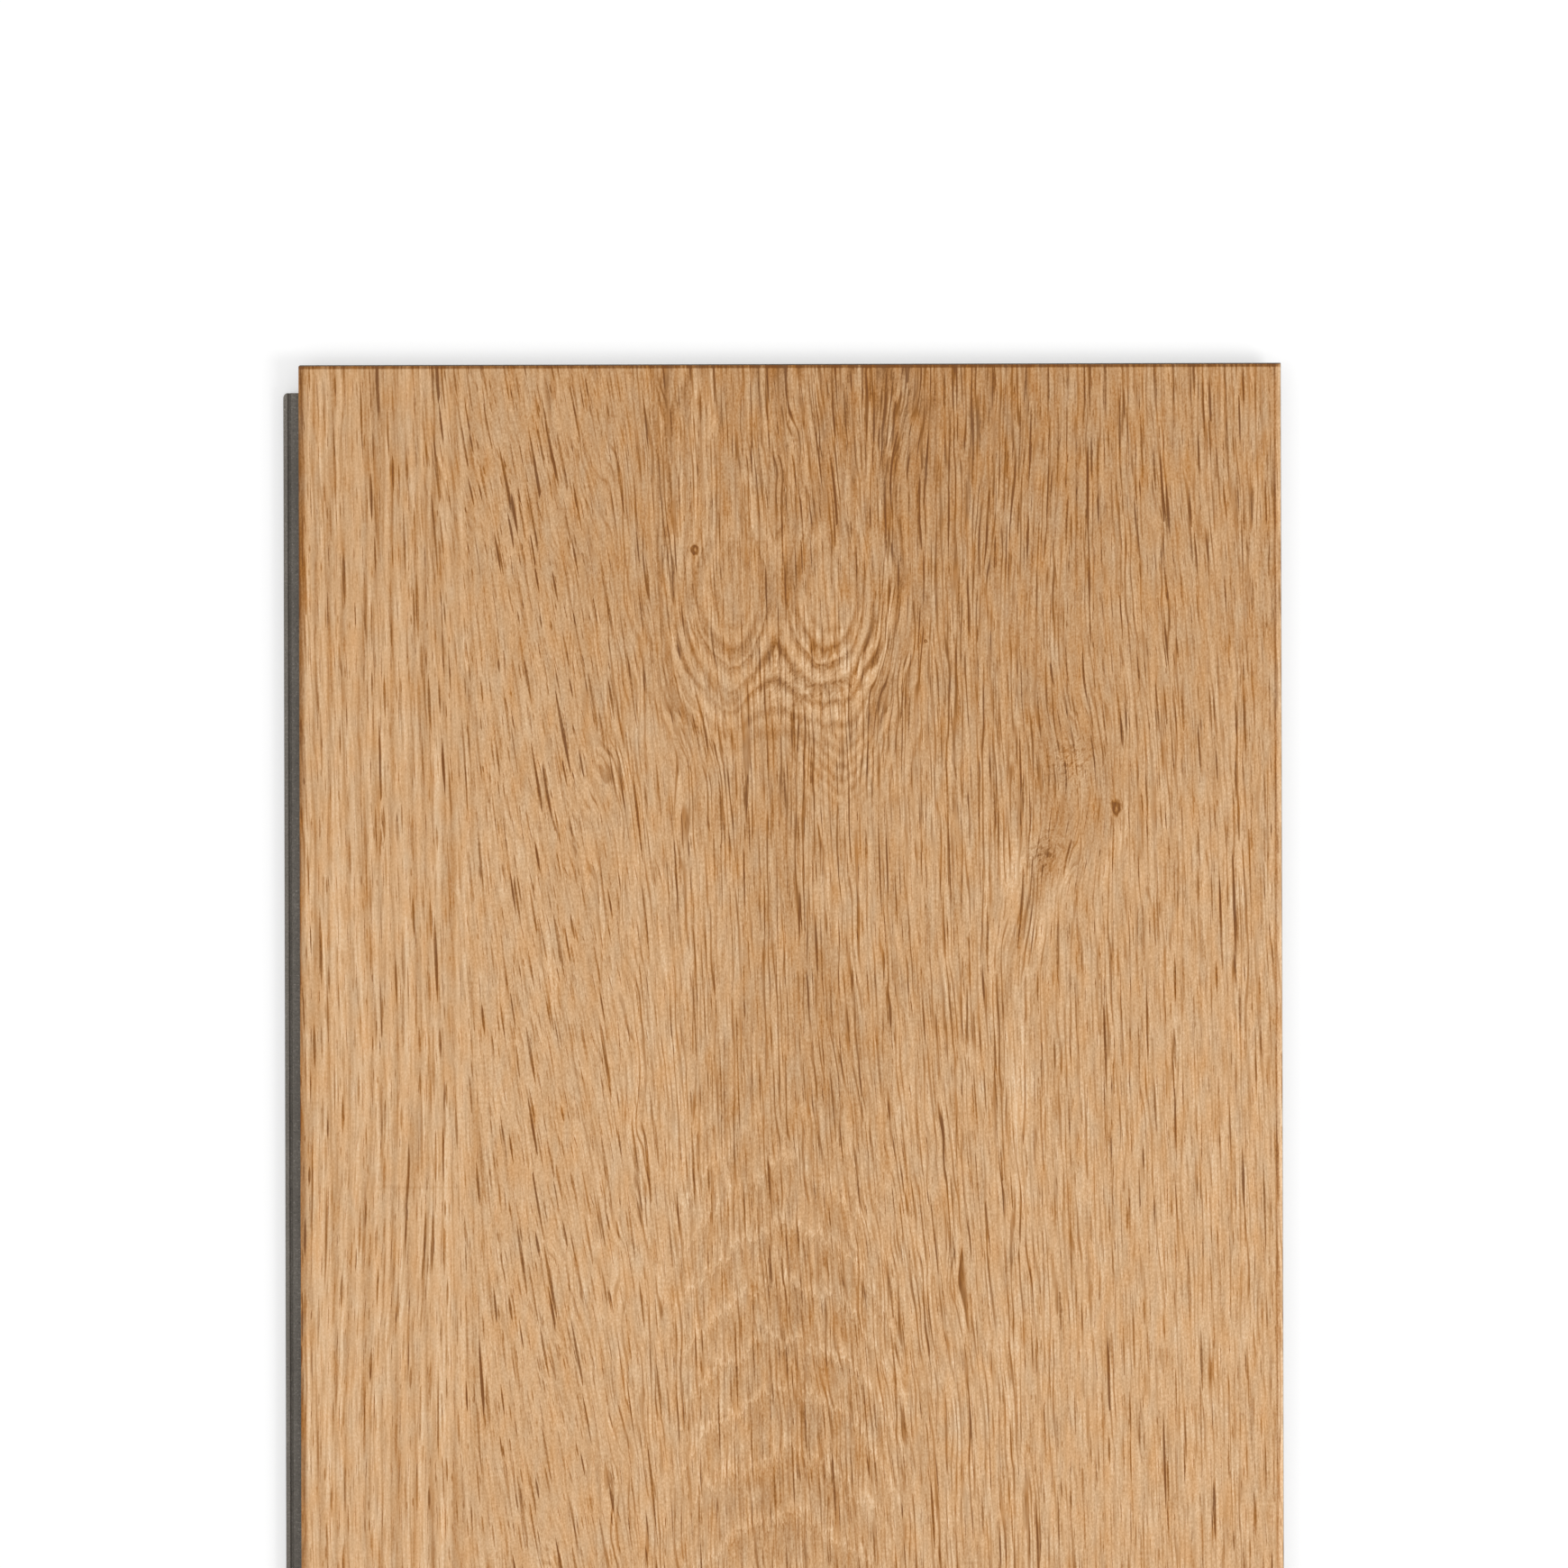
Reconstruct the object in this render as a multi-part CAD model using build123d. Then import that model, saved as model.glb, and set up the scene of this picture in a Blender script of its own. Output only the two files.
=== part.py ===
"""Hybrid floor plank: an oak-look wear layer on a rigid mineral core with a foam underlay.

Millimetres. X runs across the plank, Y along it and Z up. The origin is on the underside,
under the centre of the walking face. The locking lips point to -X and -Y, and the hooks that
drop into a neighbour's lips are on +X and +Y.
"""
from build123d import *
from collections import namedtuple
import os

# Walking face, and the thickness of each layer
face_width = 228.0
face_length = 1520.0
wear_thickness = 0.5
core_thickness = 4.5
underlay_thickness = 1.5

# Bevel round the walking face, cut into the wear layer
long_bevel_width = 1.5
end_bevel_width = 0.8
bevel_depth = 0.35

# Play between a hook and the lip that it drops into
fit_clearance = 0.1
free_end_play = 0.25

# Edge form that the long sides and the ends share
seat_depth = 0.5
lead_in = 0.3
nose_height = 0.6
nose_slope = 0.2
nose_gap = 0.6
mill_radius = 0.1

# Plan corners of the lips, and how far the underlay stays back from the core's underside
lip_corner_radius = 1.2
underlay_setback = 0.5

# A lip seen in section, from the face edge outward. Widths follow each other: a flat shelf, a
# slope into the valley, the valley, the locking flank, the ridge and its outer slope. The floor
# height is measured from the underside of the core, and the other heights from the floor.
Lip = namedtuple("Lip", "shelf slope valley flank ridge outer "
                        "floor_height valley_depth ridge_rise outer_drop nose_reach")

long_lip = Lip(shelf=1.9, slope=0.35, valley=0.35, flank=0.2, ridge=0.5, outer=0.5,
               floor_height=1.6, valley_depth=0.5, ridge_rise=0.25, outer_drop=0.55,
               nose_reach=0.25)
end_lip = Lip(shelf=3.3, slope=0.4, valley=0.5, flank=0.25, ridge=0.75, outer=0.6,
              floor_height=1.8, valley_depth=0.6, ridge_rise=0.3, outer_drop=0.6,
              nose_reach=0.35)

# Heights of the layers, and the four edges of the walking face
core_bottom = underlay_thickness
core_top = core_bottom + core_thickness
face_top = core_top + wear_thickness
left_edge = -face_width / 2
right_edge = face_width / 2
rear_edge = -face_length / 2
front_edge = face_length / 2


def lip_reach(lip):
    """How far a lip stands out past the face edge."""
    return lip.shelf + lip.slope + lip.valley + lip.flank + lip.ridge + lip.outer


def hook_depth(lip):
    """How far the recess under a hook reaches in from the face edge."""
    return lip_reach(lip) + free_end_play


def lip_steps(lip):
    """Distances and heights that a lip and its hook have in common."""
    valley_start = lip.shelf + lip.slope
    flank_foot = valley_start + lip.valley
    ridge_start = flank_foot + lip.flank
    ridge_end = ridge_start + lip.ridge
    floor = core_bottom + lip.floor_height
    valley = floor - lip.valley_depth
    ridge = floor + lip.ridge_rise
    shoulder = ridge - lip.outer_drop
    nose_low = floor + nose_gap
    return (valley_start, flank_foot, ridge_start, ridge_end,
            floor, valley, ridge, shoulder, nose_low, nose_low + nose_height)


def lip_outline(lip, edge):
    """Section of the edge with the lip, from its lowest outer corner up to the core's top.

    Each point is its place across the edge, its height and the radius of its corner.
    """
    (valley_start, flank_foot, ridge_start, ridge_end,
     floor, valley, ridge, shoulder, nose_low, nose_high) = lip_steps(lip)
    groove_low = nose_low - fit_clearance
    groove_high = nose_high + fit_clearance
    groove_depth = lip.nose_reach + fit_clearance
    outer_end = edge - lip_reach(lip)
    return [
        (outer_end, core_bottom, 0),
        (outer_end, shoulder, mill_radius),
        (edge - ridge_end, ridge, mill_radius),
        (edge - ridge_start, ridge, mill_radius),
        (edge - flank_foot, valley, mill_radius),
        (edge - valley_start, valley, mill_radius),
        (edge - lip.shelf, floor, mill_radius),
        (edge, floor, mill_radius),
        (edge, groove_low, 0),
        (edge + groove_depth, groove_low + nose_slope, mill_radius),
        (edge + groove_depth, groove_high - nose_slope, mill_radius),
        (edge, groove_high, 0),
        (edge, core_top, 0),
    ]


def hook_outline(lip, edge):
    """Section of the edge with the hook, from the core's top down to its underside."""
    (valley_start, flank_foot, ridge_start, ridge_end,
     floor, valley, ridge, shoulder, nose_low, nose_high) = lip_steps(lip)
    seat = core_top - seat_depth
    wall = edge - fit_clearance
    nose_tip = edge + lip.nose_reach
    hook_bottom = floor + fit_clearance
    inner_end = edge - hook_depth(lip)
    return [
        (edge, core_top, 0),
        (edge, seat, 0),
        (wall, seat - fit_clearance, 0),
        (wall, nose_high, 0),
        (nose_tip, nose_high - nose_slope, mill_radius),
        (nose_tip, nose_low + nose_slope, mill_radius),
        (wall, nose_low, 0),
        (wall, hook_bottom + lead_in, 0),
        (wall - lead_in, hook_bottom, 0),
        (edge - lip.shelf, hook_bottom, mill_radius),
        (edge - valley_start, valley + fit_clearance, mill_radius),
        (edge - flank_foot + fit_clearance, valley + fit_clearance, mill_radius),
        (edge - ridge_start + fit_clearance, ridge + fit_clearance, mill_radius),
        (edge - ridge_end - fit_clearance, ridge + fit_clearance, mill_radius),
        (inner_end, shoulder + fit_clearance, 0),
        (inner_end, core_bottom, 0),
    ]


def rounded_face(corners, plane):
    """A flat face through corners, each with a radius of its own."""
    points = [(across, height) for across, height, radius in corners]
    radii = [radius for across, height, radius in corners]
    return plane * make_face(FilletPolyline(*points, radius=radii, close=True))


def along_y(corners):
    """A section drawn across the plank, run past both ends of it."""
    return extrude(rounded_face(corners, Plane.XZ), amount=face_length, both=True)


def along_x(corners):
    """A section drawn along the plank, run past both sides of it."""
    return extrude(rounded_face(corners, Plane.YZ), amount=face_width, both=True)


def core_plan():
    """Plan outline of the core. A lip stops short of a corner where a hook passes under it."""
    left_lip = left_edge - lip_reach(long_lip)
    rear_lip = rear_edge - lip_reach(end_lip)
    right_nose = right_edge + long_lip.nose_reach
    front_nose = front_edge + end_lip.nose_reach
    left_lip_end = front_edge - hook_depth(end_lip)
    rear_lip_end = right_edge - hook_depth(long_lip)
    return [
        (left_lip, rear_lip, lip_corner_radius),
        (rear_lip_end, rear_lip, lip_corner_radius),
        (rear_lip_end, rear_edge, 0),
        (right_nose, rear_edge, 0),
        (right_nose, front_nose, 0),
        (left_edge, front_nose, 0),
        (left_edge, left_lip_end, 0),
        (left_lip, left_lip_end, lip_corner_radius),
    ]


def rigid_core():
    """The core is what is left after milling the long sides, the ends and the lip ends."""
    long_sides = along_y(lip_outline(long_lip, left_edge) + hook_outline(long_lip, right_edge))
    ends = along_x(lip_outline(end_lip, rear_edge) + hook_outline(end_lip, front_edge))
    plan = extrude(rounded_face(core_plan(), Plane.XY), amount=core_top)
    return long_sides & ends & plan


def bevelled_outline(low_edge, high_edge, bevel_width):
    """Section of the wear layer between two opposite face edges."""
    bevel_foot = face_top - bevel_depth
    return [
        (low_edge, core_top, 0),
        (high_edge, core_top, 0),
        (high_edge, bevel_foot, 0),
        (high_edge - bevel_width, face_top, 0),
        (low_edge + bevel_width, face_top, 0),
        (low_edge, bevel_foot, 0),
    ]


def wear_layer():
    """The embossed oak sheet, bevelled along its sides and its ends."""
    across = along_y(bevelled_outline(left_edge, right_edge, long_bevel_width))
    along = along_x(bevelled_outline(rear_edge, front_edge, end_bevel_width))
    return across & along


def foam_underlay():
    """The foam sheet under the core, which stops short of the hooks and of the lips' edges."""
    left = left_edge - lip_reach(long_lip) + underlay_setback
    right = right_edge - hook_depth(long_lip) - underlay_setback
    rear = rear_edge - lip_reach(end_lip) + underlay_setback
    front = front_edge - hook_depth(end_lip) - underlay_setback
    corner = lip_corner_radius
    outline = [(left, rear, corner), (right, rear, corner),
               (right, front, corner), (left, front, corner)]
    return extrude(rounded_face(outline, Plane.XY), amount=underlay_thickness)


os.makedirs("parts", exist_ok=True)
export_step(wear_layer(), "parts/wear_layer.step")
export_step(rigid_core(), "parts/rigid_core.step")
export_step(foam_underlay(), "parts/foam_underlay.step")
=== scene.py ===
"""Looks of the hybrid floor plank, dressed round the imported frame. Metres, +Z up.

The oak face, the milled core and the foam each get a procedural material. Inside a material all
lengths are in millimetres: x is measured across the plank from its middle, and s along it from
its front end. A tone is a step of screen brightness, on the scale from 0 to 255.
"""
import bpy
import math
import numpy as np
from collections import namedtuple
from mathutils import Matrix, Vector


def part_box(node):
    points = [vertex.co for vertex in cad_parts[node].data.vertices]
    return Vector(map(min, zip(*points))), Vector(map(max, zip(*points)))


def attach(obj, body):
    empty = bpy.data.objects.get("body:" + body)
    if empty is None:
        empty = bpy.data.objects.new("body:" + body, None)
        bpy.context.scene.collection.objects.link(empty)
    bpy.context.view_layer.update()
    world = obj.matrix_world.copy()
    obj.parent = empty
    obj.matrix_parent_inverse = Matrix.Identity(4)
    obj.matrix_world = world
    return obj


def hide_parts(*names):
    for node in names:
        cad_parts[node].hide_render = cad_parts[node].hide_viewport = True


MM = 0.001
TURN = 2 * math.pi

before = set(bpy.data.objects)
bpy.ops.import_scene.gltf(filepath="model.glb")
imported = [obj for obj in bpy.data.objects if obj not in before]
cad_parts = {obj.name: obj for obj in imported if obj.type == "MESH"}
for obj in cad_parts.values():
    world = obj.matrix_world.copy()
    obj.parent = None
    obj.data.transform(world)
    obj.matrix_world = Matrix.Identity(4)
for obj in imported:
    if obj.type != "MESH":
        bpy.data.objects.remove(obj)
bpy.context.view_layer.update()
wear_low, wear_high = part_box("wear_layer")

# Where the photograph's frame lies on the plank, in millimetres
PHOTO_WIDTH = 364.0
PHOTO_CENTRE_X = -1.5
PHOTO_CENTRE_S = 97.3
PHOTO_ROLL = 0.15
LENS = 150.0
SENSOR = 36.0

# The bevels painted round the face
LONG_BEVEL = 1.5
END_BEVEL = 0.8
BEVEL_DEPTH = 0.35
LONG_BEVEL_START = wear_high.x / MM - LONG_BEVEL


def srgb(red, green, blue):
    """A colour as a screen shows it, 0 to 255, turned into the linear values that Blender takes."""
    def linear(value):
        value = value / 255
        return value / 12.92 if value <= 0.04045 else ((value + 0.055) / 1.055) ** 2.4
    return (linear(red), linear(green), linear(blue), 1.0)


class Wire:
    """A number inside a material. Formulas use it as they use a plain number or an array."""

    def __init__(self, graph, socket):
        self.graph = graph
        self.socket = socket

    def math(self, operation, *others):
        return self.graph.math(operation, self, *others)

    def __add__(self, other):
        return self.math("ADD", other)

    def __radd__(self, other):
        return self.math("ADD", other)

    def __sub__(self, other):
        return self.math("SUBTRACT", other)

    def __rsub__(self, other):
        return self.graph.math("SUBTRACT", other, self)

    def __mul__(self, other):
        return self.math("MULTIPLY", other)

    def __truediv__(self, other):
        return self.math("DIVIDE", other)


class Graph:
    """A material, and the nodes that its formulas are made of."""

    def __init__(self, name):
        self.material = bpy.data.materials.new(name)
        self.material.use_nodes = True
        self.tree = self.material.node_tree
        self.shader = self.tree.nodes["Principled BSDF"]
        self.board = None

    def link(self, value, socket):
        """Feeds a socket with a number of the graph, or sets it to a plain value."""
        if isinstance(value, Wire):
            self.tree.links.new(value.socket, socket)
        else:
            socket.default_value = value

    def node(self, kind, **settings):
        made = self.tree.nodes.new(kind)
        for name, value in settings.items():
            setattr(made, name, value)
        return made

    def math(self, operation, *values):
        made = self.node("ShaderNodeMath", operation=operation)
        for value, socket in zip(values, made.inputs):
            self.link(value, socket)
        return Wire(self, made.outputs[0])

    def vector(self, x, y, z=0.0):
        made = self.node("ShaderNodeCombineXYZ")
        for value, socket in zip((x, y, z), made.inputs):
            self.link(value, socket)
        return made.outputs[0]

    def parts(self, socket):
        """The three numbers of a vector or colour."""
        split = self.node("ShaderNodeSeparateXYZ")
        self.tree.links.new(socket, split.inputs[0])
        return [Wire(self, output) for output in split.outputs]

    def place(self):
        """x, s and height of the shaded point."""
        x, y, z = self.parts(self.node("ShaderNodeTexCoord").outputs["Object"])
        x, s, z = x / MM, wear_high.y / MM - y / MM, z / MM
        self.board = self.vector(x, s)
        return x, s, z

    def noise(self, x, y, z=0.0, detail=2.0, roughness=0.5):
        """Smooth noise from about -1 to 1. Its coordinates count noise cells."""
        made = self.node("ShaderNodeTexNoise", noise_dimensions="3D")
        self.tree.links.new(self.vector(x, y, z), made.inputs["Vector"])
        made.inputs["Scale"].default_value = 1.0
        made.inputs["Detail"].default_value = detail
        made.inputs["Roughness"].default_value = roughness
        return Wire(self, made.outputs["Fac"]) * 2.0 - 1.0

    def scatter(self, x, y):
        """Points strewn over a plane, one in each unit square.

        Gives the offset from the nearest point, and three random numbers of that point.
        """
        made = self.node("ShaderNodeTexVoronoi", voronoi_dimensions="2D", feature="F1")
        made.inputs["Scale"].default_value = 1.0
        self.tree.links.new(self.vector(x, y), made.inputs["Vector"])
        nearest = self.parts(made.outputs["Position"])
        return x - nearest[0], y - nearest[1], self.parts(made.outputs["Color"])

    def step(self, value, low, high):
        made = self.node("ShaderNodeMapRange", interpolation_type="SMOOTHSTEP")
        self.link(value, made.inputs["Value"])
        made.inputs["From Min"].default_value = low
        made.inputs["From Max"].default_value = high
        return Wire(self, made.outputs["Result"])

    def spot(self, x, s, width, length, angle):
        """1 at a place of the board, falling smoothly to 0 at a width and a length from it."""
        placed = self.node("ShaderNodeMapping", vector_type="TEXTURE")
        placed.inputs["Location"].default_value = (x, s, 0)
        placed.inputs["Rotation"].default_value = (0, 0, angle)
        placed.inputs["Scale"].default_value = (width, length, 1)
        self.tree.links.new(self.board, placed.inputs["Vector"])
        near = self.node("ShaderNodeTexGradient", gradient_type="SPHERICAL")
        self.tree.links.new(placed.outputs[0], near.inputs[0])
        return self.step(Wire(self, near.outputs["Fac"]), 0.0, 1.0)

    def ramp(self, value, stops):
        """Colours along a value. Each stop is a place from 0 to 1 and a colour."""
        made = self.node("ShaderNodeValToRGB")
        self.link(value, made.inputs["Fac"])
        elements = made.color_ramp.elements
        while len(elements) < len(stops):
            elements.new(0.5)
        for element, (place, colour) in zip(elements, stops):
            element.position = place
            element.color = colour
        return Wire(self, made.outputs["Color"])

    def tint(self, colour, hue, saturation):
        """A colour with its hue turned, 0.5 being no turn, and its saturation multiplied."""
        made = self.node("ShaderNodeHueSaturation")
        self.link(colour, made.inputs["Color"])
        self.link(hue, made.inputs["Hue"])
        self.link(saturation, made.inputs["Saturation"])
        return Wire(self, made.outputs["Color"])

    def attribute(self, name):
        made = self.node("ShaderNodeAttribute", attribute_name=name)
        return Wire(self, made.outputs["Fac"])

    def bump(self, height):
        """Surface relief. The height is in millimetres."""
        made = self.node("ShaderNodeBump")
        made.inputs["Strength"].default_value = 1.0
        made.inputs["Distance"].default_value = MM
        self.link(height, made.inputs["Height"])
        self.tree.links.new(made.outputs["Normal"], self.shader.inputs["Normal"])

    def set(self, **values):
        for name, value in values.items():
            self.link(value, self.shader.inputs[name.replace("_", " ").title()])


def root(value):
    return value.math("SQRT")


def size_of(value):
    return value.math("ABSOLUTE")


def floor_of(value):
    return value.math("FLOOR")


def at_least_zero(value):
    return value.math("MAXIMUM", 0.0)


def bell(value):
    """Falls from 1 at 0 towards 0, as the bell curve of a squared distance does."""
    return (value * -1.0).math("EXPONENT")


def step(value, low, high):
    """0 at low, 1 at high and a smooth step between. High may be below low."""
    return value.graph.step(value, low, high)


def wave(value):
    return value.math("SINE") if isinstance(value, Wire) else np.sin(value)


# How far a spot reaches, as a multiple of the width and length that it is given with
SPOT_REACH = 1.8


def spot(x, s, centre_x, centre_s, width, length, degrees=0.0):
    """1 at a place on the board, falling away smoothly over a width and a length.

    A long spot may lean: to the right going up where degrees is above 0.
    """
    angle = math.radians(degrees)
    width = width * SPOT_REACH
    length = length * SPOT_REACH
    if isinstance(x, Wire):
        return x.graph.spot(centre_x, centre_s, width, length, angle)
    across = ((x - centre_x) * math.cos(angle) + (s - centre_s) * math.sin(angle)) / width
    along = ((s - centre_s) * math.cos(angle) - (x - centre_x) * math.sin(angle)) / length
    near = np.maximum(1 - np.hypot(across, along), 0)
    return near * near * (3 - 2 * near)


# Which way the fibres and pores lean: to the right going up where degrees is above 0
Lean = namedtuple("Lean", "x s width length degrees")

LEANS = [
    Lean(-52, 0, 20, 9000, -9),
    Lean(-74, 25, 9, 25, -7),
    Lean(-95, 215, 22, 45, 4),
    Lean(24, 205, 26, 60, -5),
    Lean(4, 20, 11, 18, -6),
    Lean(26, 14, 6, 13, 12),
    Lean(52, 30, 20, 30, 4),
    Lean(88, 60, 14, 38, -4),
    Lean(65, 112, 8, 10, 17),
    Lean(53, 132, 7, 12, 8),
    Lean(66, 84, 8, 12, -9),
    Lean(-22, 78, 7, 17, -12),
    Lean(22, 72, 7, 20, 11),
]
LEAN_EVERYWHERE = -1.5


def lean_at(x, s):
    """How far the fibres move to the right for each millimetre going up."""
    degrees = x * 0.0 + LEAN_EVERYWHERE
    for zone in LEANS:
        degrees = degrees + spot(x, s, zone.x, zone.s, zone.width, zone.length) * zone.degrees
    return degrees * math.radians(1)


def crowding(x, s):
    """1 in the bands along the board where pores crowd together, and 0 between them."""
    drift = wave(s / 61.0 + x * 0.03) * 1.2 + wave(s / 143.0 + 1.0) * 1.7
    return wave(x * 1.15 + drift + wave(x * 0.37 + 2.0) * 2.0) * 0.5 + 0.5


def camera():
    """Straight above the plank, where the photograph was taken from."""
    data = bpy.data.cameras.new("camera")
    data.lens = LENS
    data.sensor_width = SENSOR
    data.clip_end = 20.0
    made = bpy.data.objects.new("camera", data)
    height = PHOTO_WIDTH * MM / 2 * LENS / (SENSOR / 2)
    made.location = (PHOTO_CENTRE_X * MM, wear_high.y - PHOTO_CENTRE_S * MM, wear_high.z + height)
    made.rotation_euler = (0, 0, math.radians(-PHOTO_ROLL))
    bpy.context.scene.collection.objects.link(made)
    bpy.context.scene.camera = made


def area_light(name, place, aim, width, strength):
    """A square soft box. The strength is the light that it would send straight down on a floor."""
    data = bpy.data.lights.new(name, "AREA")
    data.shape = "SQUARE"
    data.size = width
    made = bpy.data.objects.new(name, data)
    made.location = place
    towards = Vector(aim) - Vector(place)
    made.rotation_mode = "QUATERNION"
    made.rotation_quaternion = towards.to_track_quat("-Z", "Y")
    data.energy = strength * math.pi ** 2 * towards.length ** 2
    bpy.context.scene.collection.objects.link(made)


AMBIENT_LIGHT = 0.6
KEY_LIGHT = 0.42
FILL_LIGHT = 0.1


def studio():
    """Soft even light, white to the eye, with the main lamp at the plank's right."""
    bpy.context.scene.view_settings.view_transform = "Standard"
    world = bpy.data.worlds.new("studio")
    bpy.context.scene.world = world
    world.use_nodes = True
    tree = world.node_tree
    ambient = tree.nodes["Background"]
    ambient.inputs["Color"].default_value = (1, 1, 1, 1)
    ambient.inputs["Strength"].default_value = AMBIENT_LIGHT
    seen = tree.nodes.new("ShaderNodeBackground")
    seen.inputs["Strength"].default_value = 1.0
    path = tree.nodes.new("ShaderNodeLightPath")
    either = tree.nodes.new("ShaderNodeMath")
    either.operation = "MAXIMUM"
    mirrored = tree.nodes.new("ShaderNodeMath")
    mirrored.operation = "MAXIMUM"
    mix = tree.nodes.new("ShaderNodeMixShader")
    tree.links.new(path.outputs["Is Camera Ray"], either.inputs[0])
    tree.links.new(path.outputs["Is Glossy Ray"], mirrored.inputs[0])
    tree.links.new(path.outputs["Is Transmission Ray"], mirrored.inputs[1])
    tree.links.new(mirrored.outputs[0], either.inputs[1])
    tree.links.new(either.outputs[0], mix.inputs[0])
    tree.links.new(ambient.outputs[0], mix.inputs[1])
    tree.links.new(seen.outputs[0], mix.inputs[2])
    tree.links.new(mix.outputs[0], tree.nodes["World Output"].inputs[0])

    front = wear_high.y
    aim = (0, front - 0.15, 0)
    area_light("key", (2.2, front - 1.1, 1.9), aim, 1.2, KEY_LIGHT)
    area_light("fill", (-1.7, front - 0.5, 2.4), aim, 1.6, FILL_LIGHT)


FLOOR_HALF_SIZE = 6.0
FLOOR_GREY = 0.6
FLOOR_GLOW = 0.5


def floor():
    """A pale matt floor that reads white where no shadow falls."""
    mesh = bpy.data.meshes.new("floor")
    half = FLOOR_HALF_SIZE
    corners = [(-half, -half, 0), (half, -half, 0), (half, half, 0), (-half, half, 0)]
    mesh.from_pydata(corners, [], [(0, 1, 2, 3)])
    made = bpy.data.objects.new("floor", mesh)
    bpy.context.scene.collection.objects.link(made)
    graph = Graph("floor_white")
    graph.set(base_color=(FLOOR_GREY, FLOOR_GREY, FLOOR_GREY, 1), roughness=0.9)
    graph.shader.inputs["Emission Color"].default_value = (1, 1, 1, 1)
    path = graph.node("ShaderNodeLightPath")
    seen, glossy, through = (Wire(graph, path.outputs[name])
                             for name in ("Is Camera Ray", "Is Glossy Ray", "Is Transmission Ray"))
    graph.link(seen.math("MAXIMUM", glossy.math("MAXIMUM", through)) * FLOOR_GLOW,
               graph.shader.inputs["Emission Strength"])
    mesh.materials.append(graph.material)


# What the lamps do to a matt surface's colour, in linear light: it is seen a little darker, with
# some white reflected on top
SEEN_SHARE = 0.888
SEEN_SHEEN = 0.036
DARKEST = 0.002


def shown(red, green, blue):
    """The surface colour that shows in the render as the given screen colour."""
    linear = srgb(red, green, blue)[:3]
    return tuple(max((value - SEEN_SHEEN) / SEEN_SHARE, DARKEST) for value in linear) + (1.0,)


# Colours of the oak print for each tone above or below its middle, from the deepest pore to the
# palest fibre
OAK_TONES = [
    (-72, (130, 87, 48)),
    (-50, (151, 105, 63)),
    (-25, (180, 132, 87)),
    (0, (201, 159, 116)),
    (22, (221, 180, 137)),
    (46, (240, 206, 168)),
]

# Light and dark places of the board: the broad ones first, the first of them painted shade, then the
# heart's dark marks round the right knot, the long stripes at the left and one faint line across
Shade = namedtuple("Shade", "x s width length amount degrees", defaults=[0])

SHADES = [
    # Painted shade: darker across the whole width towards the front end, where the light falls off.
    Shade(0, 0, 400, 90, -11),
    Shade(-105, 0, 50, 9000, 6),
    Shade(-45, 215, 25, 45, 4),
    Shade(48, 15, 34, 62, -9),
    Shade(28, 5, 20, 26, -8),
    Shade(80, 250, 45, 70, 6),
    Shade(-33, 150, 13, 60, 5),
    Shade(-65, 100, 12, 60, 4),
    Shade(98, 150, 16, 60, 4),
    Shade(-2, 150, 22, 25, -4),
    Shade(2, 175, 15, 9000, -5),
    Shade(-2, 110, 6, 22, -9),
    Shade(2, 238, 13, 40, -6),
    Shade(0.5, 48, 3.4, 6, -18, 25),
    Shade(7.5, 54, 5, 8, 8),
    Shade(59.4, 90, 4.0, 17, -15, -3),
    Shade(61.8, 105, 1.3, 3, -12),
    Shade(59.2, 113.5, 2.6, 4.2, -22, 25),
    Shade(70, 92, 5, 9, -11, -20),
    Shade(67, 108, 5, 8, -9, 20),
    Shade(55.5, 125, 1.4, 9, -17, 20),
    Shade(50.2, 145, 1.3, 11, -15, 13),
    Shade(48.2, 166, 1.2, 12, -13, 3),
    Shade(50.5, 121, 4.0, 10, 15, 10),
    Shade(52.7, 166, 2.2, 18, 20),
    Shade(60, 128, 2.2, 12, 12, 20),
    Shade(74.2, 114, 0.8, 8, 18, 15),
    Shade(76.8, 111, 0.7, 6, 18, 16),
    Shade(-83.6, 120, 0.7, 9000, -7),
    Shade(-80.8, 120, 1.1, 9000, 10),
    Shade(-78.2, 120, 0.6, 9000, -9),
    Shade(-76.0, 120, 0.8, 9000, 7),
    Shade(-73.9, 120, 0.6, 9000, -6),
    Shade(-88, 190.8, 11, 0.35, -10),
]

# The dead knots: a dark ring round a paler middle
Knot = namedtuple("Knot", "x s width length")

KNOTS = [Knot(-22.0, 42.9, 0.75, 0.9), Knot(75.7, 103.0, 1.0, 1.7), Knot(31.5, 64.2, 0.3, 0.3)]
KNOT_DARKNESS = 62.0


def knot_tone(graph, x, s):
    """The rings of the dead knots, ragged at their edges."""
    ragged = graph.noise(x * 0.9, s * 0.5, 4.4, detail=1.0)
    rings = 0.0
    for knot in KNOTS:
        across = (x - knot.x) / knot.width
        along = (s - knot.s) / knot.length
        out = root(across * across + along * along) + ragged * 0.8
        rings = step(out, 1.5, 0.9) * step(out, -0.2, 0.7) + rings
    return rings * -KNOT_DARKNESS


# The pores, from the large to the small: how far apart they lie across and along the board, how
# wide and long the longest are, how dark, and a shift that keeps the layers from lining up
PoreLayer = namedtuple("PoreLayer", "pitch_x pitch_s width length amount shift")

PORE_LAYERS = [
    PoreLayer(3.3, 26.0, 0.34, 12.0, 68.0, 3.7),
    PoreLayer(2.1, 15.0, 0.26, 7.0, 54.0, 41.3),
    PoreLayer(1.3, 6.0, 0.19, 2.7, 36.0, 77.9),
]
# The painted highlight beside each printed pore: how far to its right it lies, in pore widths, and how much
# it lifts the tone
HIGHLIGHT_OFFSET = 1.9
HIGHLIGHT_LIFT = 8.0


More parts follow.
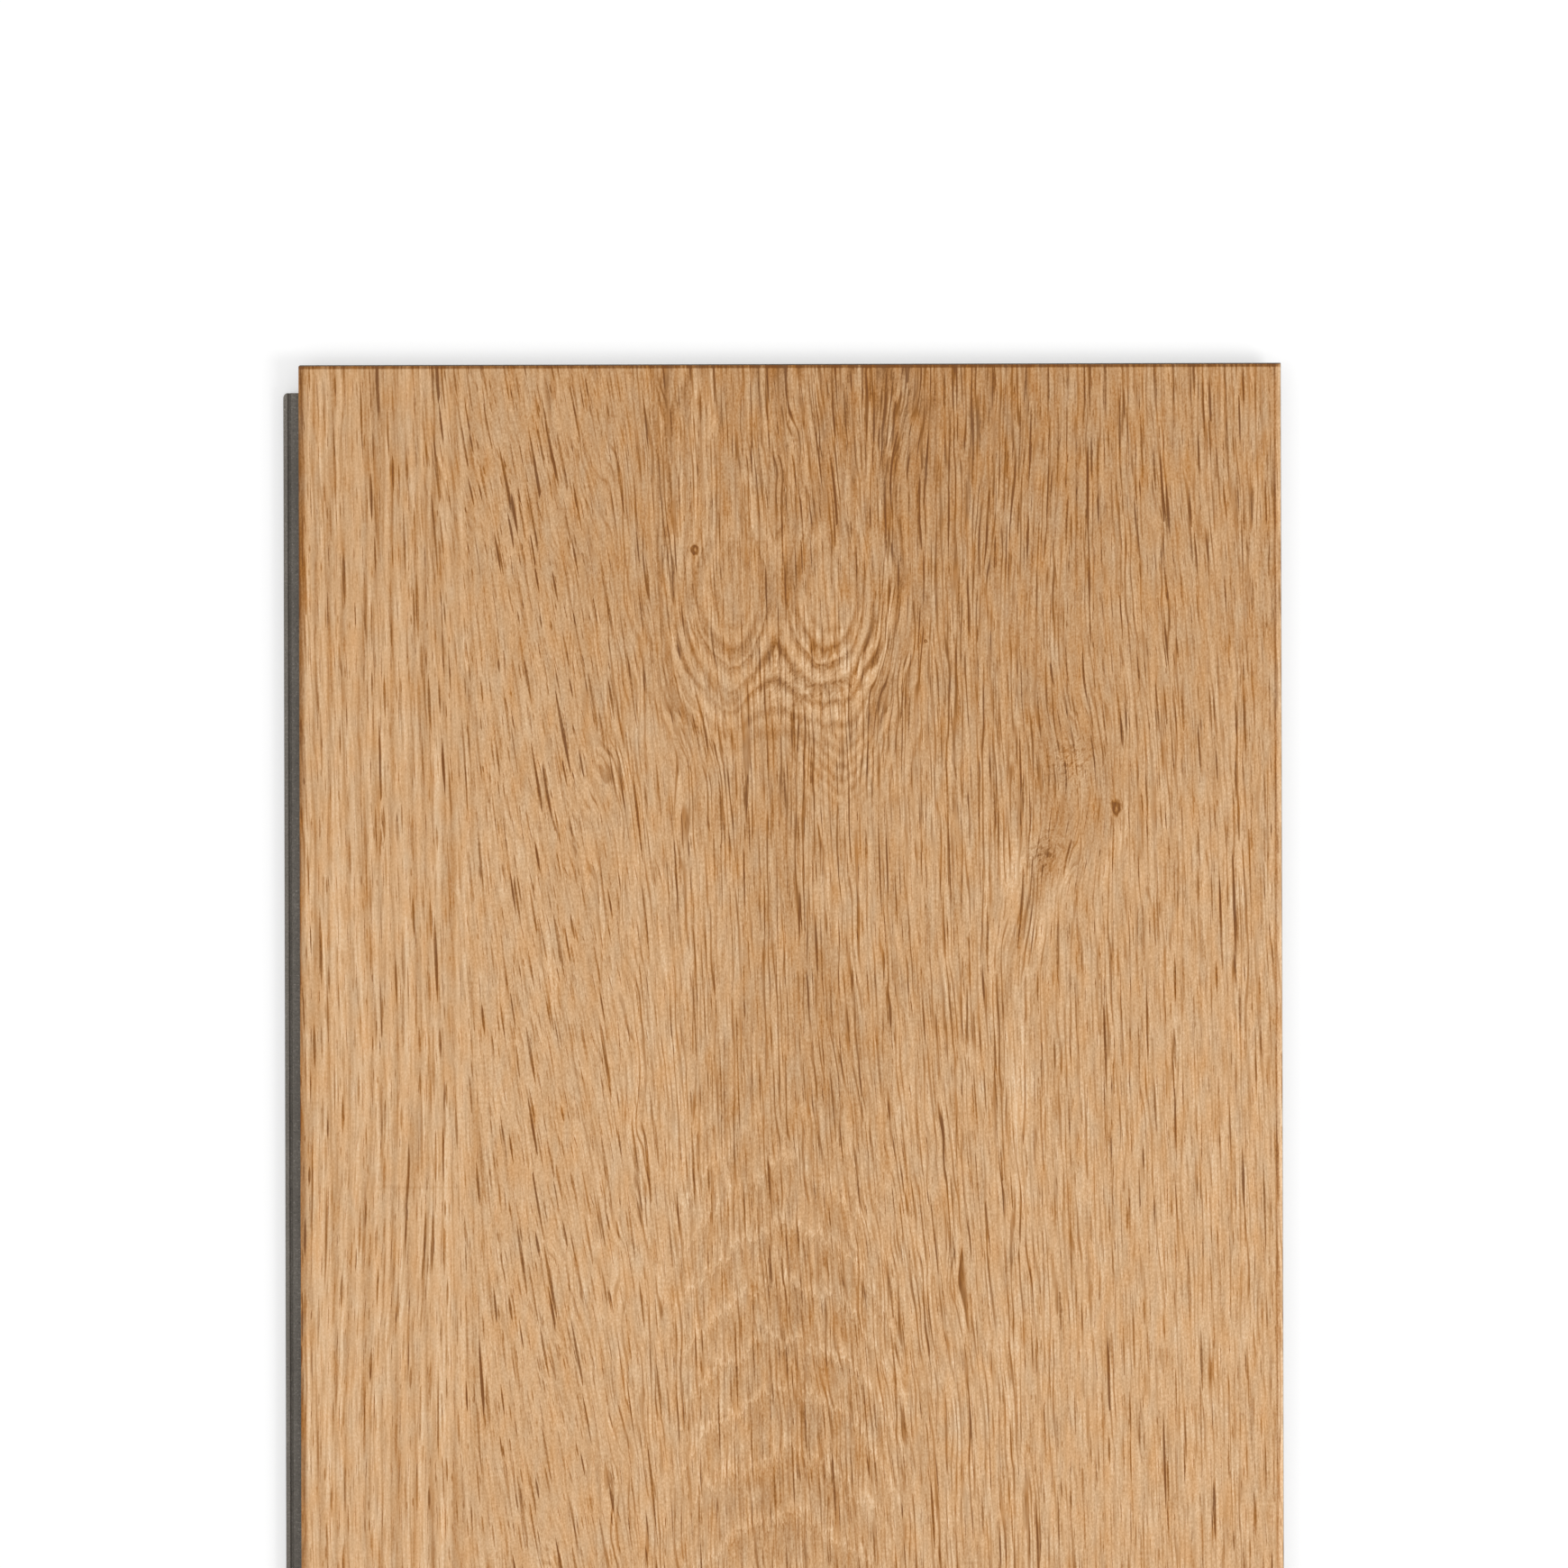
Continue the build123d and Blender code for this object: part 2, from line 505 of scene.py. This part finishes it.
def pores(graph, x, s, lean, narrow, layer):
    """Dark dashes with a pale lip beside them, a painted highlight as on the lit rim of an embossed pore.
    Gives how dark the point is and how strong the painted highlight is.
    """
    across, along, own = graph.scatter(x / layer.pitch_x + layer.shift, s / layer.pitch_s + layer.shift)
    across = across * layer.pitch_x
    along = along * layer.pitch_s
    across = across + along * lean
    size = own[0] * 0.9 + 0.35
    reach = along / (size * layer.length)
    inside = 1.0 - reach * reach
    offset = across / ((own[1] * 0.6 + 0.7) * (narrow * layer.width))
    dark = step(inside - size_of(offset) * 0.8, 0.0, 0.6)
    rim_highlight = step(inside - size_of(offset - HIGHLIGHT_OFFSET), 0.0, 0.8)
    strength = own[2] * own[2] * 0.85 + 0.15
    return dark * strength, rim_highlight * strength


def pore_tone(graph, x, s, lean, crowd, dense):
    """The printed pores of all layers with a painted highlight beside each, and the embossed grooves of the
    mesh with a painted highlight on their edges.
    """
    groove = graph.attribute("pore")
    # painted highlight on each groove's edges, where the attribute is below 0; the pore's print darkens its
    # bottom
    tone = at_least_zero(groove * -1.0) * 16.0 - step(groove, 0.0, 0.6) * 44.0
    bold = spot(x, s, -62, 0, 15, 9000) * 0.4
    for layer in PORE_LAYERS:
        dark, rim_highlight = pores(graph, x, s, lean, 1.0 - dense * 0.25, layer)
        tone = tone - dark * (crowd * 0.5 + bold + 0.7) * layer.amount + rim_highlight * HIGHLIGHT_LIFT
    return tone


def spans(x, s, lean, length, wobble):
    """The board cut along its length into spans, whose streaks each lean about the span's middle.

    Two sets of spans, half a span apart, fade into each other. Each set gives x straightened, a
    number that tells its spans apart, and how much the set counts at the point.
    """
    sets = []
    for shift in (0.0, 0.5):
        place = s / length + shift + wobble
        piece = floor_of(place)
        off = place - piece - 0.5
        share = 1.0 - size_of(off) * 2.0
        share = share / root(share * share + (1.0 - share) * (1.0 - share))
        sets.append((x + lean * off * length, piece * 7.31 + shift * 3.0, share))
    return sets


def fibres(graph, s, sets, across, along, detail=0.0):
    """Fine leaning streaks from about -1 to 1, with some cells per millimetre across and along."""
    return sum(graph.noise(straight * across, s * along, own + across * 50.0, detail=detail) * share
               for straight, own, share in sets)


def growth_lines(graph, s, sets, pitch):
    """Uneven long lines about a pitch apart, from -1 to 1."""
    lines = 0.0
    for straight, own, share in sets:
        drift = graph.noise(straight * 0.35, s * 0.03, own + 9.0, detail=1.0) * 9.0
        lines = wave(straight * (TURN / pitch) + drift) * share + lines
    return lines


# The burl in the board's middle: growth rings in ovals round two lobes, which stay open at the
# top and run together below. The squeeze is how much closer the rings lie across than along.
Lobe = namedtuple("Lobe", "x s squeeze top")

LOBES = [Lobe(-14.0, 52.0, 0.50, 13.0), Lobe(8.5, 53.0, 0.50, 14.0)]
LOBE_SOFTNESS = 5.0
SADDLE_SOFTNESS = 4.0

# The burl's rings: how far apart their dark lines are, and how far out one of them lies
RIPPLE_PITCH = 2.3
RIPPLE_DARK = 6.4

# The V-shaped ripples below the burl
VEE_X = 12.0
VEE_S = 93.0
VEE_PITCH = 3.1


def lobe_rings(x, s, lobe):
    """How far out in the lobe's rings a point lies, in millimetres across the board."""
    across = x - lobe.x
    below = s - lobe.s + lobe.top
    along = ((below + root(below * below + LOBE_SOFTNESS ** 2)) / 2 - lobe.top) * lobe.squeeze
    return root(across * across + along * along)


def burl_rings(x, s):
    """The same for the two lobes together: the nearer one counts, with a soft change between."""
    left = lobe_rings(x, s, LOBES[0])
    right = lobe_rings(x, s, LOBES[1])
    apart = left - right
    return (left + right - root(apart * apart + SADDLE_SOFTNESS ** 2)) / 2


def burl_tone(graph, x, s, burl, fine):
    """The burl's nested rings with their W-shaped ripples, and the V-shaped ones below it."""
    jagged = burl + fine * 0.018
    ring = (jagged - RIPPLE_DARK) / RIPPLE_PITCH * TURN
    ripple = wave(ring - math.pi / 2 + wave(ring) * 0.7) * (fine * 0.03 + 1.0)
    ripple = ripple * (spot(x, s, 6, 75, 17, 14) * 12.0 + 9.0)
    ripple = ripple * step(burl, 21.0, 13.0) * step(burl, 2.0, 6.0)
    grain = graph.noise(jagged * 0.36, s * 0.015, 57.0, detail=1.0)
    lines = step(size_of(grain), 0.12, 0.01) * 24.0
    lines = lines * step(burl, 5.0, 8.0) * step(burl, 26.0, 17.0) * step(s, 92.0, 80.0)
    off = x - VEE_X
    vee = (s + root(off * off + 3.0) * 1.2 + fine * 0.04) / VEE_PITCH
    vee = wave(vee * TURN) * spot(x, s, VEE_X, VEE_S, 10, 9) * 12.0
    return ripple - lines + vee


def curl_tone(graph, x, s):
    """Short curly strokes across the grain, beside the right knot and in the burl."""
    curl = graph.noise((x + s) * 0.75, (s - x) * 0.4, 14.0, detail=1.0)
    here = spot(x, s, 65, 92, 5, 6) + spot(x, s, 59, 113.5, 4, 6, 25) + spot(x, s, 5, 74, 14, 7) * 0.7
    return (curl * 50.0 + step(size_of(curl), 0.13, 0.02) * 24.0 - 9.0) * here


# Where along the board the arches below the burl are strongest. They come back further on. The
# pale line of one of them, and how far apart the lines are.
ARCHES_MIDDLE = 240.0
ARCHES_RETURN = 130.0
ARCH_LINE = 238.0
ARCH_PITCH = 13.5


def arch_tone(graph, x, s, wobble, fine):
    """Nested arches in the board's middle, each with a pale line on top and dark just under it.

    Gives their tone, and where on the board they are.
    """
    square = (x + 2.0) * (x + 2.0)
    steepness = 1.0 + step(s, 240.0, 140.0) * 0.9
    height = s - (root(square + 8.0) * 0.5 + square * square / 40000.0) * steepness + wobble * 6.0
    uneven = graph.noise(s * 0.02, x * 0.01, 21.0, detail=0.0) * step(s, 250.0, 400.0)
    count = (height - ARCH_LINE) / ARCH_PITCH + fine * 0.016 + uneven * 2.5
    under_line = count - floor_of(count)
    returning = wave((s - ARCHES_MIDDLE) / ARCHES_RETURN + math.pi / 2)
    here = step(s, 130.0, 215.0) * step(returning, -0.8, 0.5) * step(size_of(x), 34.0, 18.0)
    return (under_line * 14.0 + step(under_line, 0.78, 0.94) * 12.0 - 9.5) * here, here


def heart_tone(graph, x, s, fine, arches_here):
    """Brown tongues in the board's heart, from below the burl on."""
    tongues = graph.noise(x * 0.1, s * 0.022, 71.0, detail=1.0) + fine * 0.005
    here = step(size_of(x - 5.0), 34.0, 18.0) * step(s, 92.0, 112.0) * (1.0 - arches_here * 0.8)
    return (4.5 - step(tongues, -0.03, 0.05) * 9.0) * here


STRIPE_PITCH = 3.7


def stripe_tone(graph, x, s, striped):
    """Wide straight stripes, light and dark, along the board's left side."""
    stripes = wave(x * (TURN / STRIPE_PITCH) + graph.noise(x * 0.2, s * 0.008, 13.0, detail=1.0) * 8.0)
    return (step(stripes, 0.1, -0.9) * 8.0 - step(stripes, 0.2, 0.95) * 13.0) * striped


def bevel_paint_and_light_tone(x, s):
    """The painted bevels with light and shade painted in: dark paint at the left and in front, deepened by
    painted shade where these bevels face away from the key lamp, and at the right a dark line and then
    cream, a painted highlight where that bevel faces the lamp.
    """
    past_left = LONG_BEVEL_START + x
    past_right = x - LONG_BEVEL_START
    line = past_right - 0.15
    # Left and front: the bevels' dark paint with painted shade. Right: a dark line, then a painted
    # highlight in cream.
    left = step(past_left, 0.2, -0.8) * 26.0 + step(past_left, -0.4, -1.6) * 24.0
    right = step(past_right, 0.5, 1.4) * 20.0 - bell(line * line * 16.0) * 42.0
    return right - left - step(s, END_BEVEL + 0.1, END_BEVEL - 0.3) * 50.0


# The lengths of the spans in which long lines and short fibres lean, and the long lines' pitch
LONG_SPAN = 34.0
SHORT_SPAN = 14.0
LINE_PITCH = 1.35

# Lifts the tone of the whole print, so that pores and lines darken it to the photograph's
PRINT_LIFT = 7.5


def oak_print():
    """The printed and embossed oak, worked out from the figure of the board."""
    graph = Graph("oak_print")
    x, s, _ = graph.place()
    crowd = crowding(x, s)
    lean = lean_at(x, s)
    wobble = graph.noise(x * 0.11, s * 0.03, 9.1, detail=2.0)
    burl = burl_rings(x + wobble * 2.0, s + wobble * 4.0)
    # 0 at the open-grained left, 1 in the middle, and between them at the right
    dense = step(x, -62.0, -12.0) * (1.0 - step(x, 48.0, 72.0) * 0.55)
    striped = step(x, -70.0, -80.0)
    in_lobes = step(burl, 16.0, 11.0) * step(s, 30.0, 42.0) * step(s, 100.0, 80.0)

    long_spans = spans(x, s, lean, LONG_SPAN, wobble)
    short_spans = spans(x, s, lean, SHORT_SPAN, wobble * 1.5)
    streaks = fibres(graph, s, long_spans, 0.42, 0.012, detail=1.0) * 12.0
    lines = growth_lines(graph, s, long_spans, LINE_PITCH)
    fine = fibres(graph, s, short_spans, 1.3, 0.055) * 22.0 + fibres(graph, s, short_spans, 2.4, 0.4) * 15.0
    fine = (fine - at_least_zero(fine) * 0.3) * (dense * 0.3 + 0.7)
    flecks = graph.noise(x * 2.5, s * 1.4, 31.0, detail=1.0)
    broad = graph.noise(x * 0.02, s * 0.005, 3.0, detail=1.0) * step(s, 250.0, 420.0) * 36.0
    arches, arches_here = arch_tone(graph, x, s, wobble, fine)

    dark_lines = step(lines, 0.35, 0.95) * (dense * 22.0 + striped * 3.0 + 7.0)
    dark_lines = dark_lines * (1.0 - in_lobes * 0.6 - arches_here * 0.35)
    dark_lines = at_least_zero(dark_lines * (crowd * 0.6 + flecks * 1.2 + streaks * 0.28 + 0.6))
    pale_lines = step(lines, -0.2, -1.0) * (dense * 4.0 + striped * 3.0 + 3.0)

    tone = fine * (1.0 - striped * 0.4) + flecks * (31.0 - striped * 9.0) + streaks + broad + PRINT_LIFT
    tone = tone - dark_lines + pale_lines + arches
    tone = tone + stripe_tone(graph, x, s, striped)
    tone = tone + burl_tone(graph, x, s, burl, fine)
    tone = tone + curl_tone(graph, x, s)
    tone = tone + heart_tone(graph, x, s, fine, arches_here)
    tone = tone + pore_tone(graph, x, s, lean, crowd, dense)
    tone = tone + knot_tone(graph, x, s)
    # the bevels' paint, with painted shade at the left and front and a painted highlight at the right
    tone = tone + bevel_paint_and_light_tone(x, s)
    for shade in SHADES:
        tone = spot(x, s, *shade[:4], shade.degrees).math("MULTIPLY_ADD", shade.amount, tone)

    lowest = OAK_TONES[0][0]
    span = float(OAK_TONES[-1][0] - lowest)
    colour = graph.ramp((tone - float(lowest)) / span,
                        [((place - lowest) / span, shown(*seen)) for place, seen in OAK_TONES])
    warm = graph.noise(x * 0.35, s * 0.1, 88.0, detail=1.0)
    colour = graph.tint(colour, 0.5 - warm * 0.006, warm * 0.16 + 1.0)
    graph.set(base_color=colour, roughness=(tone * -0.002 + 0.54).math("MINIMUM", 0.7))
    graph.bump(flecks * 0.03)
    return graph.material


# The face's embossed pores: the cells that the face is cut into, one pore in each. Depth and widths
# are in millimetres. How far a pore reaches to either side of its middle is a share of its cell.
PORE_COLUMNS = 110
PORE_ROWS = 122
CELLS = PORE_COLUMNS * PORE_ROWS
PORE_DEPTH = 0.09
PORE_WIDTHS = (0.28, 0.62)
SHORTEST_PORE = 0.11
LONGEST_PORE = 0.47
WIDEST_LEAN = 0.38
BED_SHARE = 0.45


def best_cut(points, ways):
    """Of some ways of cutting a side of every cell into triangles, the one with no sliver or fold."""
    def area(three):
        first, second, third = (points[corner, :2] for corner in three)
        return np.cross(third - first, second - first)
    thinnest = np.array([[area(three) for three in way] for way in ways]).min(axis=1)
    pick = thinnest.argmax(axis=0)
    return [tuple(np.choose(pick, [way[k][corner] for way in ways]) for corner in range(3))
            for k in range(len(ways[0]))]


def groove_points(chance, corner_x, corner_s, top, pitch_x, pitch_s):
    """Six points for each cell's groove, and how strong each groove is.

    They are its upper and lower ends, its left and right edges, and two points along its bottom.
    """
    shape = (PORE_ROWS, PORE_COLUMNS)
    middle_x = (corner_x[:-1, :-1] + corner_x[:-1, 1:] + corner_x[1:, :-1] + corner_x[1:, 1:]) / 4
    middle_s = (corner_s[:-1, :-1] + corner_s[:-1, 1:] + corner_s[1:, :-1] + corner_s[1:, 1:]) / 4
    lean = lean_at(middle_x, middle_s) * pitch_s / pitch_x
    reach = SHORTEST_PORE + (LONGEST_PORE - SHORTEST_PORE) * chance.uniform(0, 1, shape) ** 1.3
    reach = np.minimum(reach, WIDEST_LEAN / np.maximum(np.abs(lean), 0.01))
    strength = chance.uniform(0, 1, shape) ** 1.5 * (0.5 + 0.5 * crowding(middle_x, middle_s))
    half = (PORE_WIDTHS[0] + (PORE_WIDTHS[1] - PORE_WIDTHS[0]) * strength) / 2
    across = 0.5 + chance.uniform(-0.2, 0.2, shape) * (1 - np.abs(lean) * reach / 0.4)
    along = 0.5 + chance.uniform(-1, 1, shape) * (0.5 - reach) * 0.6

    def inside(share_x, share_s):
        """A point of each cell, at a share of the way across and along it."""
        def blend(corner):
            upper = corner[:-1, :-1] * (1 - share_x) + corner[:-1, 1:] * share_x
            lower = corner[1:, :-1] * (1 - share_x) + corner[1:, 1:] * share_x
            return upper * (1 - share_s) + lower * share_s
        return np.stack([blend(corner_x), blend(corner_s), np.full(shape, top)], axis=-1)

    upper_end = inside(across + lean * reach, along - reach)
    lower_end = inside(across - lean * reach, along + reach)
    middle = (upper_end + lower_end) / 2
    to_side = half[..., None] * np.array([1.0, 0.0, 0.0])
    to_bed = (upper_end - middle) * BED_SHARE
    down = np.array([0.0, 0.0, PORE_DEPTH])
    return [upper_end, lower_end, middle - to_side, middle + to_side,
            middle + to_bed - down, middle - to_bed - down], strength.ravel()


def cell_triangles(points, number, first):
    """The triangles of all cells, each with a groove in it."""
    c00, c10 = number[:-1, :-1].ravel(), number[:-1, 1:].ravel()
    c01, c11 = number[1:, :-1].ravel(), number[1:, 1:].ravel()
    of_groove = first + np.arange(6 * CELLS).reshape(6, CELLS)
    upper, lower, west, east, bed_upper, bed_lower = of_groove
    right_side = best_cut(points, [
        [(c11, c10, upper), (c11, upper, east), (c11, east, lower)],
        [(c11, c10, east), (c10, upper, east), (c11, east, lower)],
        [(c11, c10, lower), (c10, upper, east), (c10, east, lower)],
    ])
    left_side = best_cut(points, [
        [(c00, c01, upper), (c01, west, upper), (c01, lower, west)],
        [(c00, c01, west), (c00, west, upper), (c01, lower, west)],
        [(c00, c01, lower), (c00, west, upper), (c00, lower, west)],
    ])
    ends_and_groove = [
        (c10, c00, upper), (c01, c11, lower),
        (east, upper, bed_upper), (east, bed_upper, bed_lower), (lower, east, bed_lower),
        (west, lower, bed_lower), (west, bed_lower, bed_upper), (upper, west, bed_upper),
    ]
    return np.concatenate([np.stack(three, axis=-1) for three in right_side + left_side + ends_and_groove])


def embossed_face():
    """The wear layer as one closed mesh, with a groove for each of its larger pores.

    The flat of the face is cut into cells with uneven corners, and each cell holds one groove.
    """
    chance = np.random.default_rng(11)
    left, right = wear_low.x / MM, wear_high.x / MM
    front, top, bottom = wear_high.y / MM, wear_high.z / MM, wear_low.z / MM
    length = front - wear_low.y / MM
    pitch_x = (right - left - 2 * LONG_BEVEL) / PORE_COLUMNS
    pitch_s = (length - 2 * END_BEVEL) / PORE_ROWS

    column, row = np.meshgrid(np.arange(PORE_COLUMNS + 1), np.arange(PORE_ROWS + 1))
    inner_column = (column > 0) & (column < PORE_COLUMNS)
    inner_row = (row > 0) & (row < PORE_ROWS)
    corner_x = left + LONG_BEVEL + column * pitch_x
    corner_s = END_BEVEL + row * pitch_s
    corner_x = corner_x + chance.uniform(-0.18, 0.18, column.shape) * pitch_x * inner_column
    corner_s = corner_s + chance.uniform(-0.25, 0.25, column.shape) * pitch_s * inner_row
    corners = np.stack([corner_x, corner_s, np.full(column.shape, top)], axis=-1)
    groove, strength = groove_points(chance, corner_x, corner_s, top, pitch_x, pitch_s)

    rim = [(0, c) for c in range(PORE_COLUMNS)] + [(r, PORE_COLUMNS) for r in range(PORE_ROWS)]
    rim += [(PORE_ROWS, c) for c in range(PORE_COLUMNS, 0, -1)] + [(r, 0) for r in range(PORE_ROWS, 0, -1)]
    outer = np.array([corners[place] for place in rim])
    outer[[r == 0 for r, c in rim], 1] = 0.0
    outer[[r == PORE_ROWS for r, c in rim], 1] = length
    outer[[c == 0 for r, c in rim], 0] = left
    outer[[c == PORE_COLUMNS for r, c in rim], 0] = right
    outer[:, 2] = top - BEVEL_DEPTH
    under = outer.copy()
    under[:, 2] = bottom
    points = np.concatenate([part.reshape(-1, 3) for part in [corners] + groove + [outer, under]])

    # The attribute that the material reads: below 0 at a groove's edges, where it paints a highlight, above
    # 0 along its bottom, where it prints the pore dark
    first = column.size
    pore = np.zeros(len(points))
    pore[first + 2 * CELLS:first + 4 * CELLS] = np.tile(-strength, 2)
    pore[first + 4 * CELLS:first + 6 * CELLS] = np.tile(0.25 + 0.75 * strength, 2)

    number = np.arange(column.size).reshape(column.shape)
    around = len(rim)
    edge = np.array([number[place] for place in rim])
    ring = first + 6 * CELLS + np.arange(around)
    base = ring + around
    after = np.roll(np.arange(around), -1)
    faces = cell_triangles(points, number, first).tolist()
    faces += [tuple(int(v) for v in (edge[k], edge[n], ring[n], ring[k])) for k, n in enumerate(after)]
    faces += [tuple(int(v) for v in (ring[k], ring[n], base[n], base[k])) for k, n in enumerate(after)]
    faces += underside(base.tolist())

    mesh = bpy.data.meshes.new("wear_layer_embossed")
    placed = np.stack([points[:, 0], front - points[:, 1], points[:, 2]], axis=-1) * MM
    mesh.from_pydata(placed.tolist(), [], faces)
    mesh.attributes.new("pore", "FLOAT", "POINT").data.foreach_set("value", pore)
    made = bpy.data.objects.new("wear_layer_embossed", mesh)
    bpy.context.scene.collection.objects.link(made)
    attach(made, "root")
    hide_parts("wear_layer")
    return made


def underside(base):
    """Closes the mesh below, with a fan at each end and a strip across for each row between."""
    north = base[:PORE_COLUMNS + 1]
    east = base[PORE_COLUMNS:PORE_COLUMNS + PORE_ROWS + 1]
    south = base[PORE_COLUMNS + PORE_ROWS:2 * PORE_COLUMNS + PORE_ROWS + 1]
    west = [base[0]] + base[2 * PORE_COLUMNS + PORE_ROWS:][::-1]
    faces = [(west[1], north[k], north[k + 1]) for k in range(PORE_COLUMNS)]
    faces += [(west[1], east[0], east[1])]
    faces += [(west[r], east[r], east[r + 1], west[r + 1]) for r in range(1, PORE_ROWS - 1)]
    faces += [(east[-2], south[k], south[k + 1]) for k in range(PORE_COLUMNS)]
    faces += [(east[-2], west[-1], west[-2])]
    return faces


CUTTER_PITCH = 1.1


def mineral_core():
    """Milled mineral-filled plastic: grey, with pale and dark grains and fine marks of the cutters."""
    graph = Graph("mineral_core")
    x, s, z = graph.place()
    clouds = graph.noise(x * 0.12, s * 0.05, z * 0.3, detail=3.0)
    grains = graph.noise(x * 2.4, s * 2.4, z * 2.4, detail=2.0, roughness=0.7)
    cutter = wave(s * (TURN / CUTTER_PITCH) + clouds * 2.5) * wave(x * 0.9 + clouds * 6.0)
    tone = grains * 34.0 + clouds * 16.0 + cutter * 2.5
    tone = tone + step(grains, 0.28, 0.4) * 30.0 - step(grains, -0.26, -0.4) * 24.0
    colour = graph.ramp(tone / 100.0 + 0.5, [
        (0.0, srgb(74, 69, 63)),
        (0.5, srgb(122, 115, 106)),
        (1.0, srgb(178, 171, 161)),
    ])
    graph.set(base_color=colour, roughness=grains * 0.15 + 0.72)
    graph.bump(grains * 0.05 + cutter * 0.012)
    return graph.material


FOAM_CELL = 0.9


def backing_foam():
    """Closed-cell foam: near black, with a skin of small cells and faint lines from its rolling."""
    graph = Graph("backing_foam")
    x, s, z = graph.place()
    uneven = graph.noise(x, s, z) * 0.3
    across, along, own = graph.scatter(x / FOAM_CELL + uneven, s / FOAM_CELL + z / FOAM_CELL)
    out = root(across * across + along * along) / (own[0] * 0.3 + 0.25)
    rolled = graph.noise(x * 0.25, s * 0.02, z, detail=2.0)
    tone = step(out, 0.4, 1.0) * 16.0 + rolled * 26.0 + own[1] * 10.0
    colour = graph.ramp(tone / 50.0, [
        (0.0, srgb(48, 49, 52)),
        (0.5, srgb(70, 71, 75)),
        (1.0, srgb(98, 99, 103)),
    ])
    graph.set(base_color=colour, roughness=0.82 - own[1] * 0.1)
    graph.bump(step(out, 0.2, 1.0) * 0.06 + rolled * 0.05)
    return graph.material


def dress(piece, material):
    """Gives a piece its finish."""
    piece.data.materials.clear()
    piece.data.materials.append(material)


camera()
studio()
floor()
dress(embossed_face(), oak_print())
dress(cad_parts["rigid_core"], mineral_core())
dress(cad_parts["foam_underlay"], backing_foam())
